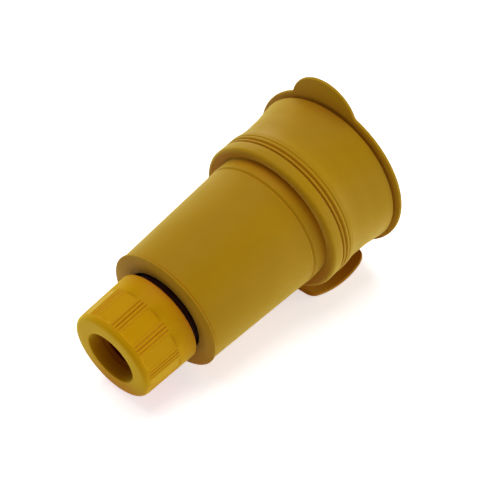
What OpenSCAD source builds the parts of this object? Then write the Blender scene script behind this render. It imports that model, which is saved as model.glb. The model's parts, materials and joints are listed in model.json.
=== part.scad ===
// In-line twist-lock receptacle with a flip lid and a cable gland nut.
// The connector's own axis is local +Z, towards the mouth, and local +Y is the thumb tab's side.
// The mouth's edge is at local z = 0. lying() turns that frame onto the table it rests on.

/* [Sleeve] */
// Length from the mouth's edge to the rear face
sleeve_len = 74.9; // [70:0.1:82]
// Radius of the mouth that takes the plug's nose
mouth_r = 22.6; // [21.8:0.1:22.8]
// Outer radius at the mouth's edge
front_r = 27.25; // [26.8:0.05:27.6]
// Outer radius at the waist of the front cup
waist_r = 25.85; // [25.6:0.05:26.4]
// Distance of the waist behind the mouth's edge
waist_back = 13.3; // [11:0.1:16]
// Outer radius of the bead in front of the band
bead_r = 26.45; // [26.2:0.05:26.9]
// Outer radius of the cone at its front end
cone_front_r = 22.2; // [21.9:0.1:22.3]
// Outer radius of the cone at its rear end
cone_rear_r = 20; // [19.6:0.05:20.3]
// Outer radius of the rear shoulder
shoulder_r = 20.4; // [20.3:0.05:21]
// Rubber wall round the cone
wall = 2.5; // [2.2:0.1:2.8]
// Thickness of the rear wall
rear_wall = 2.8; // [2:0.1:3.5]
// Radius of the rear hole round the threaded neck
rear_hole_r = 13.9; // [13:0.1:14.6]
// Height of the sealing lip in front of the mouth's edge
seal_lip = 0.8; // [0.5:0.1:0.9]
// Depth of the contact face behind the mouth's edge
face_back = 10; // [8:0.5:11]
// Radius of the pocket that holds the insulators behind the mouth
pocket_r = 22; // [21.4:0.1:22.2]

/* [Band and strap] */
// Outer radius of the band that carries the strap
band_r = 26.4; // [26:0.1:27]
// Rear face of the band behind the mouth's edge
band_back = 27.8; // [27:0.1:29]
// Width of the band
band_w = 4.5; // [3.5:0.1:5]
// Thickness of the strap
strap_t = 1.2; // [1:0.1:1.8]
// Radius of the bow that the closed strap takes
strap_bow_r = 40.2; // [39:0.2:44]
// Distance of the lowest line of the strap below the axis
strap_drop = 31; // [30.6:0.1:32]
// Lowest line of the strap behind the mouth's edge
strap_low_back = 9.8; // [8:0.1:12]
// Width of the strap at its middle
strap_w = 32.6; // [28:0.2:34]
// Width that the strap loses on each side at its ends
strap_pinch = 1.3; // [0.5:0.1:2]
// Width of the root that joins the strap to the band
root_w = 19; // [14:0.5:22]

/* [Lid] */
// Outer radius of the lid's rim
rim_r = 28.8; // [28:0.1:29.4]
// Rear edge of the rim in front of the mouth's edge
rim_back = 1.1; // [0.8:0.1:1.6]
// Thickness of the rim and of the thumb tab
rim_t = 1.3; // [1:0.1:2]
// Radius of the thumb tab's outline
tab_r = 12.7; // [10:0.1:14]
// Distance of the thumb tab's centre from the axis
tab_c = 22.9; // [22:0.1:25]
// Fillet between the tab and the rim
tab_fillet = 2; // [1:0.5:3]
// Crown of the lid's front in front of its rim
lid_crown = 2.2; // [1.6:0.1:3]
// Width of the hinge ear at the foot of the lid
ear_w = 26.4; // [22:0.2:28]

/* [Gland] */
// Outer radius of the threaded neck
neck_r = 12.6; // [12.2:0.1:12.8]
// Wall of the threaded neck
neck_wall = 1.8; // [1.5:0.1:2]
// Thickness of the neck's flange inside the sleeve
flange_t = 2; // [1.5:0.1:3]
// Gap between the nut and the sleeve's rear face
nut_gap = 2.5; // [2.4:0.1:4]
// Travel of the nut as it is tightened
nut_travel = 2.2; // [1.6:0.1:2.2]
// Length of the nut
nut_len = 20.1; // [18:0.1:22]
// Outer radius of the nut at its collar
nut_r = 15.45; // [15.2:0.05:16]
// Radius that the nut loses towards its face
nut_taper = 0.65; // [0.4:0.05:0.9]
// Thickness of the nut's end wall
nut_end = 4.4; // [3:0.1:5]
// Radius of the cable hole in the nut
cable_hole_r = 8.9; // [8.4:0.1:9.8]
// Number of flat panels round the nut
nut_panels = 10; // [8:1:12]
// Radius of the cable bore in the grommet
grommet_bore_r = 7.2; // [5:0.1:7.6]
// Thickness of the thrust ring
ring_t = 1.5; // [1:0.1:2]

/* [Insulators] */
// Thickness of the contact face
face_t = 4; // [3.4:0.1:4.5]
// Rear end of the terminal block behind the mouth's edge
block_back = 41.8; // [40:0.1:44]
// Pitch radius of the three contacts
contact_pitch_r = 11.9; // [11.4:0.1:12.2]
// Width of a blade slot
slot_w = 2.2; // [1.8:0.1:2.4]
// Angle of a blade slot, blade and twist together
slot_angle = 60; // [54:1:64]
// Pitch radius of the assembly screws
screw_pitch_r = 16.2; // [15.8:0.1:16.3]
// Shank radius of the assembly screws
screw_r = 1.45; // [1.2:0.05:1.5]
// Shank radius of the terminal screws
terminal_r = 1.75; // [1.5:0.05:1.9]
// Side of the square clamp plates
clamp_side = 7.6; // [7:0.1:8]

/* [Hidden] */
$fn = 96;

// Clearances: rigid pieces that are assembled, running fits, and soft faces on different bodies
fit = 0.1;
run = 0.05;
soft_gap = 0.35;
eps = 0.01;

yellow_rubber = [0.70, 0.52, 0.14];
yellow_nylon = [0.78, 0.56, 0.06];
black_nylon = [0.09, 0.08, 0.08];
ivory_nylon = [0.86, 0.83, 0.74];
brass_tone = [0.80, 0.62, 0.28];
steel_tone = [0.72, 0.73, 0.75];
black_rubber = [0.07, 0.06, 0.06];
maroon_rubber = [0.27, 0.10, 0.04];

// Sleeve stations along the axis
strip_back = 32.4;
strip_r = cone_front_r + 0.25;
strip_line_w = 1.2;
strip_line_deep = 0.45;
bead_back = 19.4;
cone_front_back = strip_back + strip_line_w / 2;
cone_rear_back = sleeve_len - 0.8;
groove_floor_r = cone_front_r + 0.2;
pocket_back = band_back - band_w - 1.2;
band_lean = 0.7;
line_step = 1.45;
line_w = [0.4, 0.75];
lip_base_r = mouth_r + 1.9;
lip_tip_r = mouth_r + 1.5;

// Cone radius at a distance behind the mouth's edge
function cone_r(back) = cone_front_r
    + (cone_rear_r - cone_front_r) * (back - cone_front_back) / (cone_rear_back - cone_front_back);

// Rest: the table touches the strap's bow and the rear shoulder's edge
bow_c = strap_bow_r - strap_drop;
rest_dy = bow_c + shoulder_r;
rest_dz = sleeve_len - strap_low_back;
rest_tilt = asin(strap_bow_r / norm([rest_dy, rest_dz])) - atan2(rest_dy, rest_dz);

// Lid stations
rim_front = rim_back + rim_t;
lid_rear = soft_gap;
lid_root_r = front_r - 1.3;
skirt_r = lip_base_r + 0.4;
lid_top = rim_front + lid_crown;
fold_z = -0.45;
fold_y = bow_c - sqrt(strap_bow_r * strap_bow_r - (strap_low_back + fold_z) * (strap_low_back + fold_z));
fold_t = strap_t + 0.2;

// Insulator stations, all behind the mouth's edge
face_rear = face_back + face_t;
block_front = face_rear + fit;
block_flange_back = pocket_back - fit;
block_r = cone_r(block_back) - wall - 0.15;
cavity_back = 28.6;
cavity_half = 2.55;
leaf_t = 0.8;
leaf_gap = slot_w / 2 - 0.1;
spring_t = 0.4;
plate_t = 1.2;
clamp_t = 1.4;
wire_gap = 0.8;
plate_back = block_back + fit + plate_t;
clamp_front = plate_back + wire_gap;
tail_half = 9;
terminal_turn = 22;
head_t = 2;
contact_angles = [90, 210, 330];
screw_angles = [30, 150, 270];

// Rear housing and gland stations, behind the mouth's edge
housing_front = block_back + fit;
seal_t = 1.4;
seal_back = sleeve_len - rear_wall - fit;
shoulder_back = seal_back - seal_t - fit;
housing_wall = 1.8;
neck_back = sleeve_len + nut_gap + nut_len - nut_end - ring_t - nut_travel - 0.3 - fit;
neck_in_r = neck_r - neck_wall;
passage_r = neck_in_r - 1.8;
grommet_len = 10;
nut_front_back = sleeve_len + nut_gap;
nut_face_back = nut_front_back + nut_len;
chamber_back = nut_face_back - nut_end;
panel_start = 6.4;
panel_end = 1.7;
panel_angle = 18.4;
panel_deep = 0.2;
ribs = 4;
rib_phase = 104.5;
taper_angle = atan(nut_taper / nut_len);

module lying() rotate([90 - rest_tilt, 0, 180]) children();

// Part of a ring: radii, first angle, sweep, and its rear and front ends behind the mouth's edge
module sector(r_in, r_out, first, sweep, back, front) {
    translate([0, 0, -back]) rotate([0, 0, first]) rotate_extrude(angle = sweep)
        translate([r_in, 0]) square([r_out - r_in, back - front]);
}

// Full ring between two stations behind the mouth's edge
module ring(r_in, r_out, back, front) {
    translate([0, 0, -back]) difference() {
        cylinder(r = r_out, h = back - front);
        translate([0, 0, -eps]) cylinder(r = r_in, h = back - front + 2 * eps);
    }
}

module rod(r, back, front) translate([0, 0, -back]) cylinder(r = r, h = back - front);

// Section of the sleeve: cup, beads and fine lines, band seat, strip, cone and rear shoulder
module sleeve_section() {
    flare = front_r - waist_r;
    difference() {
        polygon([
            [pocket_r, -pocket_back], [pocket_r, -face_back + fit], [mouth_r, -face_back + fit],
            [mouth_r, seal_lip], [lip_tip_r, seal_lip], [lip_base_r, 0],
            [front_r - 0.4, 0], [front_r, -0.4], [front_r - 0.36 * flare, -0.28 * waist_back],
            [front_r - 0.79 * flare, -0.58 * waist_back], [waist_r, -waist_back],
            [waist_r, -waist_back - 3], [bead_r - 0.15, -bead_back + 0.9], [bead_r, -bead_back],
            [bead_r - 0.3, -bead_back - 2 * line_step], [band_r - 0.35, -(band_back - band_w) + fit],
            [groove_floor_r, -(band_back - band_w) + fit],
            [groove_floor_r, -band_back + band_lean], [strip_r - 0.1, -band_back - 0.6],
            [strip_r, -strip_back + strip_line_w / 2], [strip_r - strip_line_deep, -strip_back],
            [cone_front_r, -cone_front_back], [cone_rear_r, -cone_rear_back],
            [shoulder_r, -sleeve_len + 0.65], [shoulder_r, -sleeve_len + 0.3],
            [shoulder_r - 0.3, -sleeve_len],
            [rear_hole_r, -sleeve_len], [rear_hole_r, -sleeve_len + rear_wall],
            [cone_r(sleeve_len - rear_wall) - wall, -sleeve_len + rear_wall],
            [cone_r(pocket_back) - wall, -pocket_back]
        ]);
        for (i = [0, 1])
            translate([bead_r - 0.1, -(band_back - band_w) + (2 - i) * line_step])
                rotate(45) square(line_w[i], center = true);
    }
}

module rubber_sleeve() color(yellow_rubber) rotate_extrude() sleeve_section();

// Plan of the strap, wider at its middle than at its ends, with rounded corners
module strap_plan() {
    front = -fold_z + 0.15;
    half = (band_back - front) / 2;
    barrel_r = (half * half + strap_pinch * strap_pinch) / (2 * strap_pinch);
    corner = 2;
    reach = strap_w / 2 - strap_pinch - corner;
    intersection() {
        translate([0, -(band_back + front) / 2]) intersection() {
            translate([barrel_r - strap_w / 2, 0]) circle(r = barrel_r, $fn = 180);
            translate([strap_w / 2 - barrel_r, 0]) circle(r = barrel_r, $fn = 180);
        }
        union() {
            translate([-strap_w / 2, -band_back + corner]) square([strap_w, band_back - front - 2 * corner]);
            translate([-reach, -band_back]) square([2 * reach, band_back - front]);
            for (side = [-1, 1], end = [-band_back + corner, -front - corner])
                translate([side * reach, end]) circle(r = corner);
        }
    }
}

// Band round the sleeve with the bowed strap that holds the lid
module closure_strap() color(yellow_rubber) {
    round_edge = 1.2;
    inner = groove_floor_r + fit;
    front = -band_back + band_w;
    rotate_extrude() difference() {
        polygon([
            [inner, front], [inner, -band_back + band_lean], [band_r - round_edge, -band_back],
            [band_r, -band_back], [band_r, front]
        ]);
        translate([band_r - round_edge, -band_back]) difference() {
            translate([0, -eps]) square([round_edge + eps, round_edge + eps]);
            translate([0, round_edge]) circle(r = round_edge);
        }
    }
    intersection() {
        rotate([90, 0, 0]) linear_extrude(strap_drop + 2) strap_plan();
        translate([0, bow_c, -strap_low_back]) rotate([0, 90, 0]) difference() {
            cylinder(r = strap_bow_r, h = strap_w + 2, center = true, $fn = 180);
            cylinder(r = strap_bow_r - strap_t, h = strap_w + 4, center = true, $fn = 180);
        }
    }
    difference() {
        web_low = strap_bow_r * cos(asin((band_back - strap_low_back) / strap_bow_r)) - bow_c - 0.2;
        translate([-root_w / 2, -web_low, -band_back + 0.3]) cube([root_w, web_low - 20, band_w - 0.3]);
        rod(inner, band_back + 1, band_back - band_w - 1);
    }
}

// Outline of the lid's rim with its thumb tab, its fillets and the hinge ear
module rim_outline() {
    reach = rim_r + tab_fillet;
    span = tab_r + tab_fillet;
    turn = acos((reach * reach + tab_c * tab_c - span * span) / (2 * reach * tab_c));
    fillet_x = reach * sin(turn);
    fillet_y = reach * cos(turn);
    circle(r = rim_r);
    translate([0, tab_c]) circle(r = tab_r);
    for (side = [-1, 1]) difference() {
        polygon([
            [0, tab_c], [side * rim_r * sin(turn) * 0.9, rim_r * cos(turn) * 0.9],
            [side * rim_r * sin(turn), rim_r * cos(turn)], [side * fillet_x, fillet_y],
            [side * fillet_x * tab_r / span, tab_c + (fillet_y - tab_c) * tab_r / span]
        ]);
        translate([side * fillet_x, fillet_y]) circle(r = tab_fillet + eps);
    }
    ear_corner = 1.5;
    translate([-ear_w / 2 + ear_corner, fold_y]) square([ear_w - 2 * ear_corner, 10]);
    translate([-ear_w / 2, fold_y + ear_corner]) square([ear_w, 10]);
    for (side = [-1, 1])
        translate([side * (ear_w / 2 - ear_corner), fold_y + ear_corner]) circle(r = ear_corner);
}

// Lid: crowned disc with a skirt round the mouth's lip, flat rim, thumb tab and hinge ear
module flip_lid() color(yellow_rubber) {
    crown_r = (rim_r * rim_r + lid_crown * lid_crown) / (2 * lid_crown);
    crown_edge = rim_r - 0.5;
    middle = rim_back + rim_t / 2;
    rotate_extrude() translate([skirt_r, lid_rear]) square([lid_root_r - skirt_r, middle - lid_rear]);
    rotate_extrude() intersection() {
        translate([0, middle]) square([crown_edge, lid_crown + rim_t]);
        translate([0, lid_top - crown_r]) circle(r = crown_r, $fn = 360);
    }
    translate([0, 0, rim_back]) linear_extrude(rim_t) rim_outline();
    translate([-ear_w / 2 + 1.5, fold_y, fold_z + 0.15])
        cube([ear_w - 3, fold_t, middle - fold_z]);
}

// Blade slot: an arc, with an inward notch where notch is above zero
module blade_slot(middle, notch) {
    rotate([0, 0, middle]) {
        sector(contact_pitch_r - slot_w / 2, contact_pitch_r + slot_w / 2, -slot_angle / 2, slot_angle,
            face_rear + 1, face_back - 1);
        if (notch > 0)
            sector(contact_pitch_r - slot_w / 2 - notch, contact_pitch_r, -slot_angle / 2, 12,
                face_rear + 1, face_back - 1);
    }
}

// Front insulator with its three curved slots and sunk screw heads
module contact_face() color(ivory_nylon) {
    difference() {
        rod(pocket_r - fit, face_rear, face_back);
        blade_slot(contact_angles[0], 2.2);
        blade_slot(contact_angles[1], 0);
        blade_slot(contact_angles[2], 0);
        translate([0, 0, -face_back - 0.6]) cylinder(r = 4.2, h = 2);
        for (a = screw_angles) rotate([0, 0, a]) translate([screw_pitch_r, 0, 0]) {
            rod(screw_r + fit, face_rear + 1, face_back - 1);
            rod(screw_r + 1.4, face_back + 1.9, face_back - 1);
        }
    }
}

// Soft ring in the front corner of the terminal block
module face_seal() color(black_rubber) {
    rotate_extrude() translate([pocket_r - 1.05, -block_front - 1.05]) circle(r = 0.9, $fn = 32);
}

// Main insulator: flange in the cup, three contact cavities, screw holes and wire posts
module terminal_block() color(black_nylon) {
    difference() {
        union() {
            rod(pocket_r - fit, block_flange_back, block_front);
            rod(block_r, block_back, block_flange_back - eps);
        }
        ring(pocket_r - 2.1, pocket_r + 1, block_front + 2.1, block_front - 1);
        for (a = contact_angles) rotate([0, 0, a]) {
            sector(contact_pitch_r - cavity_half, contact_pitch_r + cavity_half,
                -slot_angle / 2 - 3, slot_angle + 6, cavity_back, block_front - 1);
            sector(contact_pitch_r - 0.6 - fit, contact_pitch_r + 0.6 + fit,
                -tail_half - 1, 2 * tail_half + 2, block_back + 1, cavity_back - 1);
            rotate([0, 0, terminal_turn]) translate([contact_pitch_r, 0, 0])
                rod(terminal_r + fit, block_back + 1, block_back - 8);
        }
        for (a = screw_angles) rotate([0, 0, a]) translate([screw_pitch_r, 0, 0])
            rod(screw_r + fit, block_back + 1, block_front - 1);
    }
}

// Hole for a terminal screw through a plate
module screw_hole(back, front) {
    rotate([0, 0, terminal_turn]) translate([contact_pitch_r, 0, 0]) rod(terminal_r + 0.15, back, front);
}

// Contact: two arc leaves, the web that joins them, a tail and a terminal plate
module contact(middle) color(brass_tone) rotate([0, 0, middle]) {
    inner = contact_pitch_r - leaf_gap;
    outer = contact_pitch_r + leaf_gap;
    first = -slot_angle / 2;
    leaf_back = cavity_back - 0.2 - spring_t;
    sector(inner - leaf_t, inner, first, slot_angle, leaf_back, block_front + 0.5);
    sector(outer, outer + leaf_t, first, slot_angle, leaf_back, block_front + 0.5);
    sector(inner - leaf_t, outer + leaf_t, first, slot_angle, leaf_back, leaf_back - leaf_t);
    sector(contact_pitch_r - 0.6, contact_pitch_r + 0.6, -tail_half, 2 * tail_half,
        plate_back - plate_t / 2, leaf_back - eps);
    difference() {
        sector(contact_pitch_r - clamp_side / 2, contact_pitch_r + clamp_side / 2, -tail_half,
            tail_half + terminal_turn + 18, plate_back, plate_back - plate_t);
        screw_hole(plate_back + 1, plate_back - plate_t - 1);
    }
}

// Steel clip that backs a contact's leaves
module backing_spring(middle) color(steel_tone) rotate([0, 0, middle]) {
    inner = contact_pitch_r - leaf_gap - leaf_t - 0.05;
    outer = contact_pitch_r + leaf_gap + leaf_t + 0.05;
    back = cavity_back - 0.1;
    reach = slot_angle / 2 - 6;
    for (first = [-reach, 12]) {
        sector(outer, outer + spring_t, first, reach - 12, back, block_front + 2);
        sector(inner - spring_t, inner, first, reach - 12, back, block_front + 2);
        sector(inner - spring_t, outer + spring_t, first, reach - 12, back, back - spring_t);
    }
    sector(outer, outer + spring_t, -reach, 2 * reach, block_front + 6, block_front + 3);
}

// Square washer plate that presses the bared wire onto the terminal plate
module wire_clamp(middle) color(steel_tone) rotate([0, 0, middle]) difference() {
    rotate([0, 0, terminal_turn])
        translate([contact_pitch_r - clamp_side / 2, -clamp_side / 2, -clamp_front - clamp_t])
            cube([clamp_side, clamp_side, clamp_t]);
    screw_hole(clamp_front + clamp_t + 1, clamp_front - 1);
}

// Slotted cheese head and shank; the head is behind the shank
module terminal_screw() {
    head_back = clamp_front + clamp_t + fit + head_t;
    difference() {
        rod(terminal_r + 1.3, head_back, head_back - head_t);
        translate([-4, -0.4, -head_back - eps]) cube([8, 0.8, 0.9]);
    }
    rod(terminal_r, head_back - head_t + eps, block_back - 7);
}

module terminal_screws() color(brass_tone) {
    for (a = contact_angles) rotate([0, 0, a + terminal_turn]) translate([contact_pitch_r, 0, 0])
        terminal_screw();
}

// Long screws from the contact face, through the block, into the rear housing
module assembly_screws() color(steel_tone) {
    for (a = screw_angles) rotate([0, 0, a]) translate([screw_pitch_r, 0, 0]) {
        difference() {
            rod(screw_r + 1.25, face_back + 1.8, face_back + 0.2);
            translate([-4, -0.35, -face_back - 0.9]) cube([8, 0.7, 2]);
        }
        rod(screw_r, block_back + 8, face_back + 1.8 - eps);
    }
}

// Rigid inner housing: tapering wire chamber with screw bosses, flange and neck for the nut
module rear_housing() color(black_nylon) {
    front_out = cone_r(housing_front) - wall - 0.15;
    rear_out = cone_r(shoulder_back) - wall - 0.15;
    boss_len = 10;
    difference() {
        union() {
            rotate_extrude() polygon([
                [front_out - housing_wall, -housing_front], [front_out, -housing_front],
                [rear_out, -shoulder_back + 0.5], [rear_out - 0.5, -shoulder_back],
                [neck_r, -shoulder_back], [neck_r, -neck_back + 0.6], [neck_r - 0.6, -neck_back],
                [neck_in_r, -neck_back], [neck_in_r, -neck_back + grommet_len],
                [passage_r, -neck_back + grommet_len], [passage_r, -shoulder_back + flange_t],
                [rear_out - housing_wall, -shoulder_back + flange_t]
            ]);
            for (a = screw_angles) rotate([0, 0, a]) intersection() {
                translate([screw_pitch_r, 0, 0]) rod(screw_r + 1.4, housing_front + boss_len, housing_front);
                rotate([0, 0, -a]) translate([0, 0, -shoulder_back])
                    cylinder(r1 = rear_out - 0.2, r2 = front_out - 0.05, h = shoulder_back - housing_front);
            }
        }
        for (a = screw_angles) rotate([0, 0, a]) translate([screw_pitch_r, 0, 0])
            rod(screw_r + fit, housing_front + boss_len - 1, housing_front - 1);
    }
}

// Flat ring between the housing's shoulder and the sleeve's rear wall
module housing_seal() color(black_rubber)
    ring(neck_r + 0.15, rear_hole_r + 2.6, seal_back, seal_back - seal_t);

// Rubber bush that grips the cable, with a bevelled rear edge
module cable_grommet() color(maroon_rubber) {
    out_r = neck_in_r - fit;
    rear = neck_back + 0.2;
    rotate_extrude() polygon([
        [grommet_bore_r, -rear], [out_r - 0.8, -rear], [out_r, -rear + 0.8],
        [out_r, -neck_back + grommet_len - fit], [grommet_bore_r, -neck_back + grommet_len - fit]
    ]);
}

// Slip ring that lets the nut turn on the grommet
module thrust_ring() color(yellow_nylon)
    ring(cable_hole_r + 0.2, neck_r, chamber_back - fit, chamber_back - fit - ring_t);

// Gland nut: tapered body, rounded end, flat panels and groups of fine ribs
module gland_nut() color(yellow_nylon) {
    end_round = 1.6;
    face_r = nut_r - nut_taper;
    pitch = 360 / nut_panels;
    rib_step = (pitch - panel_angle) / ribs;
    body_len = nut_len - panel_start - panel_end;
    half_panel = nut_r * sin(panel_angle / 2);
    difference() {
        rotate_extrude() {
            difference() {
                polygon([
                    [neck_r + run, -nut_front_back - 0.3], [neck_r + run + 0.3, -nut_front_back],
                    [nut_r - 0.4, -nut_front_back], [nut_r, -nut_front_back - 0.4],
                    [face_r, -nut_face_back], [cable_hole_r + 0.4, -nut_face_back],
                    [cable_hole_r, -nut_face_back + 0.4], [cable_hole_r, -chamber_back],
                    [neck_r + run, -chamber_back]
                ]);
                translate([face_r - end_round, -nut_face_back]) difference() {
                    translate([0, -1]) square([end_round + 2, end_round + 1]);
                    translate([0, end_round]) circle(r = end_round);
                }
            }
        }
        for (i = [0 : nut_panels - 1]) rotate([0, 0, rib_phase + pitch * (i + 0.5)])
            translate([nut_r, 0, -nut_front_back - panel_start]) rotate([0, taper_angle, 0])
                translate([-nut_r * (1 - cos(panel_angle / 2)) - panel_deep, -half_panel, -body_len])
                    cube([3, 2 * half_panel, body_len]);
        for (i = [0 : nut_panels - 1], j = [1 : ribs - 1])
            rotate([0, 0, rib_phase + pitch * i + rib_step * (j - ribs / 2)])
                translate([nut_r, 0, -nut_front_back - panel_start]) rotate([0, taper_angle, 0])
                    translate([-0.4, -0.3, -body_len]) cube([3, 0.6, body_len]);
    }
}

lying() rubber_sleeve();
lying() closure_strap();
lying() flip_lid();
lying() contact_face();
lying() face_seal();
lying() terminal_block();
lying() contact(contact_angles[1]);  // line_contact
lying() contact(contact_angles[2]);  // neutral_contact
lying() contact(contact_angles[0]);  // ground_contact
lying() backing_spring(contact_angles[1]);  // line_spring
lying() backing_spring(contact_angles[2]);  // neutral_spring
lying() backing_spring(contact_angles[0]);  // ground_spring
lying() wire_clamp(contact_angles[1]);  // line_clamp
lying() wire_clamp(contact_angles[2]);  // neutral_clamp
lying() wire_clamp(contact_angles[0]);  // ground_clamp
lying() terminal_screws();
lying() assembly_screws();
lying() rear_housing();
lying() housing_seal();
lying() cable_grommet();
lying() thrust_ring();
lying() gland_nut();
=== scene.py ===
"""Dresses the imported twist-lock connector: moulded forms, finishes, light and camera."""

from __future__ import annotations

import json
import logging
import math
from dataclasses import dataclass
from enum import Enum
from typing import Callable, Sequence, Union

import bmesh
import bpy
from mathutils import Matrix, Quaternion, Vector


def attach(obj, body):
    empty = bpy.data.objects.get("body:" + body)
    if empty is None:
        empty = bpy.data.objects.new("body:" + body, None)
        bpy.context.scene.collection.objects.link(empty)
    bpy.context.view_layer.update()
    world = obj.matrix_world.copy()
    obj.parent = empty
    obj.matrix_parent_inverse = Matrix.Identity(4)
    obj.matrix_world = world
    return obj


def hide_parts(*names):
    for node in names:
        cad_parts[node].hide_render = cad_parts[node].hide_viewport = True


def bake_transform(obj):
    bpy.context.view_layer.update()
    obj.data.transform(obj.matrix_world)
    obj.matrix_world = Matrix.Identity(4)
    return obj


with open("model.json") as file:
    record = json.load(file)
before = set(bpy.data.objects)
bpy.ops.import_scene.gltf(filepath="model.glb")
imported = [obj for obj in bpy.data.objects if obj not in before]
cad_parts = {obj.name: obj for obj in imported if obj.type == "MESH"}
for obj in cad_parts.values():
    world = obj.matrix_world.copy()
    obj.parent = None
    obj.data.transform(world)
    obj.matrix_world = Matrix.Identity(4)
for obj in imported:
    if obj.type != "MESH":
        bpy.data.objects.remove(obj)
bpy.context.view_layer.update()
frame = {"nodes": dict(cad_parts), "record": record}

log = logging.getLogger("scene")

MM = 0.001
SAME_MM = 1e-6
WELD_MM = 1e-5
FULL_TURN = 2 * math.pi
BEVEL_STEPS = 4

Point = tuple[float, float]
Place = tuple[float, float, float]
Colour = tuple[float, float, float]
Corner = Union[tuple[float, float], tuple[float, float, float]]


class Body(str, Enum):
    """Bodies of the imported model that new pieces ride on."""

    CONNECTOR = "connector_body"
    LID = "lid"
    NUT = "nut"


class Slot(str, Enum):
    """Material slots of the record."""

    YELLOW_RUBBER = "yellow_rubber"
    YELLOW_NYLON = "yellow_nylon"
    BLACK_NYLON = "black_nylon"
    IVORY_NYLON = "ivory_nylon"
    BRASS = "brass"
    BRASS_SCREWS = "brass_screws"
    STEEL = "steel"
    BLACK_RUBBER = "black_rubber"
    MAROON_RUBBER = "maroon_rubber"


@dataclass(frozen=True)
class Datum:
    """Sizes that several sub-assemblies share, in millimetres.

    A distance named back is counted behind the mouth's edge, and a height above the axis.
    """

    sleeve_len: float = 74.9
    mouth_r: float = 22.6
    front_r: float = 27.25
    cone_front_r: float = 22.2
    cone_rear_r: float = 20.0
    shoulder_r: float = 20.4
    shoulder_t: float = 0.8
    wall: float = 2.5
    rear_wall: float = 2.8
    strip_back: float = 32.4
    strip_line_w: float = 1.2
    band_back: float = 27.8
    band_w: float = 4.5
    band_lean: float = 0.7
    band_r: float = 26.4
    band_seam_deep: float = 0.7
    strap_t: float = 1.2
    strap_bow_r: float = 40.2
    strap_drop: float = 31.0
    strap_low_back: float = 9.8
    fold_z: float = -0.45
    fold_half: float = 0.15
    run: float = 0.05
    fit: float = 0.1
    soft_gap: float = 0.35

    @property
    def bow_c(self) -> float:
        """Height of the strap's bow centre."""
        return self.strap_bow_r - self.strap_drop

    @property
    def tilt(self) -> float:
        """Rise of the axis as the connector lies on its strap and its rear shoulder.

        Returns:
            The angle in radians.
        """
        rise = self.bow_c + self.shoulder_r
        run = self.sleeve_len - self.strap_low_back
        return math.asin(self.strap_bow_r / math.hypot(rise, run)) - math.atan2(rise, run)

    @property
    def fold_y(self) -> float:
        """Height of the fold line, which is below the axis."""
        return self.bow_c - math.sqrt(self.strap_bow_r**2 - (self.strap_low_back + self.fold_z) ** 2)

    @property
    def cone_front_back(self) -> float:
        """Front end of the cone."""
        return self.strip_back + self.strip_line_w / 2

    @property
    def band_front(self) -> float:
        """Front face of the band."""
        return self.band_back - self.band_w

    @property
    def seat_r(self) -> float:
        """Radius of the sleeve's seat under the band."""
        return self.cone_front_r + 0.2

    def cone_r(self, back: float) -> float:
        """Outer radius of the cone at a distance behind the mouth's edge."""
        share = (back - self.cone_front_back) / (self.sleeve_len - self.shoulder_t - self.cone_front_back)
        return self.cone_front_r + (self.cone_rear_r - self.cone_front_r) * share

    def lying(self) -> Matrix:
        """Lays the connector as it rests on the table.

        Returns:
            The turn from local millimetres, with y up and z towards the mouth, to the row frame in metres.
        """
        c, s = math.cos(self.tilt), math.sin(self.tilt)
        turn = Matrix(((-1, 0, 0, 0), (0, -s, c, 0), (0, c, s, 0), (0, 0, 0, 1)))
        return turn @ Matrix.Scale(MM, 4)


DATUM = Datum()


def clamp(value: float) -> float:
    """A value held between 0 and 1."""
    return min(max(value, 0.0), 1.0)


def rounded(corners: Sequence[Corner], steps: int = 6) -> list[Point]:
    """Rounds the corners of a closed outline.

    Args:
        corners: Corners as (x, y) or (x, y, radius), in order.
        steps: Points of each rounded corner, less one.

    Returns:
        The outline with an arc at each corner that has a radius and turns.
    """
    straight = math.radians(89)
    out: list[Point] = []
    for i, here in enumerate(corners):
        radius = here[2] if len(here) > 2 else 0.0
        p = Vector(here[:2])
        before = (Vector(corners[i - 1][:2]) - p).normalized()
        after = (Vector(corners[(i + 1) % len(corners)][:2]) - p).normalized()
        half = before.angle(after) / 2
        if radius <= 0 or half > straight:
            out.append((p.x, p.y))
            continue
        centre = p + (before + after).normalized() * (radius / math.sin(half))
        start = p + before * (radius / math.tan(half)) - centre
        sweep = (math.pi - 2 * half) * (1.0 if before.cross(after) < 0 else -1.0)
        for k in range(steps + 1):
            spot = centre + Matrix.Rotation(sweep * k / steps, 2) @ start
            out.append((spot.x, spot.y))
    return out


def arc(centre: Point, r: float, start: float, end: float, steps: int) -> list[Point]:
    """Points on an arc.

    Args:
        centre: Centre of the arc.
        r: Radius.
        start: First angle in degrees.
        end: Last angle in degrees.
        steps: Points, less one.

    Returns:
        The points in order.
    """
    angles = (math.radians(start + (end - start) * k / steps) for k in range(steps + 1))
    return [(centre[0] + r * math.cos(a), centre[1] + r * math.sin(a)) for a in angles]


def placed(name: str, data: bpy.types.ID) -> bpy.types.Object:
    """Adds an object to the scene.

    Args:
        name: Name of the object.
        data: Its mesh, light or camera.

    Returns:
        The object.
    """
    obj = bpy.data.objects.new(name, data)
    bpy.context.scene.collection.objects.link(obj)
    return obj


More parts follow.
